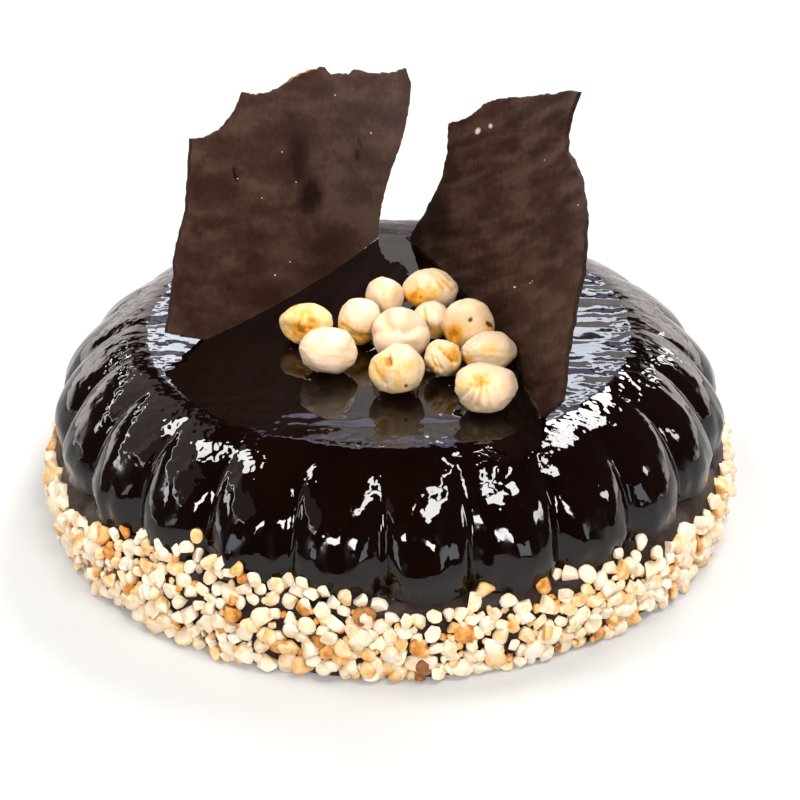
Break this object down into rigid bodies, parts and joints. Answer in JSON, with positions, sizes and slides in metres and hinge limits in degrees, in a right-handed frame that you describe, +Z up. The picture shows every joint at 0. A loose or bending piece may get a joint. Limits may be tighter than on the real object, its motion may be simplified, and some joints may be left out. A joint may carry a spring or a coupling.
{
  "type": "ice cream cake",
  "caption": "Round fluted ice cream cake with a dark mirror glaze, a foot band of chopped nuts, whole hazelnuts and two upright chocolate shards on its flat top.",
  "frame": {"origin": "centre of the flat base, on the surface the cake stands on", "axes": "+Z up; -Y is the front, the side open between the two shards; +X to the right seen from the front"},
  "size_m": [0.2093, 0.2093, 0.1441],
  "materials": {
    "mirror_glaze": "mirror gloss chocolate glaze, almost black brown",
    "dark_chocolate": "matte dark chocolate with a faint bloom",
    "blanched_hazelnut": "blanched hazelnut, cream with golden toasted patches",
    "chopped_hazelnut": "chopped hazelnut, cream to golden brown"
  },
  "bodies": {
    "root": {"cake_body": "mirror_glaze", "chocolate_shard_left": "dark_chocolate", "chocolate_shard_right": "dark_chocolate", "hazelnut_01": "blanched_hazelnut", "hazelnut_02": "blanched_hazelnut", "hazelnut_03": "blanched_hazelnut", "hazelnut_04": "blanched_hazelnut", "hazelnut_05": "blanched_hazelnut", "hazelnut_06": "blanched_hazelnut", "hazelnut_07": "blanched_hazelnut", "hazelnut_08": "blanched_hazelnut", "hazelnut_09": "blanched_hazelnut", "hazelnut_10": "blanched_hazelnut", "hazelnut_11": "blanched_hazelnut", "hazelnut_12": "blanched_hazelnut"}
  },
  "joints": []
}
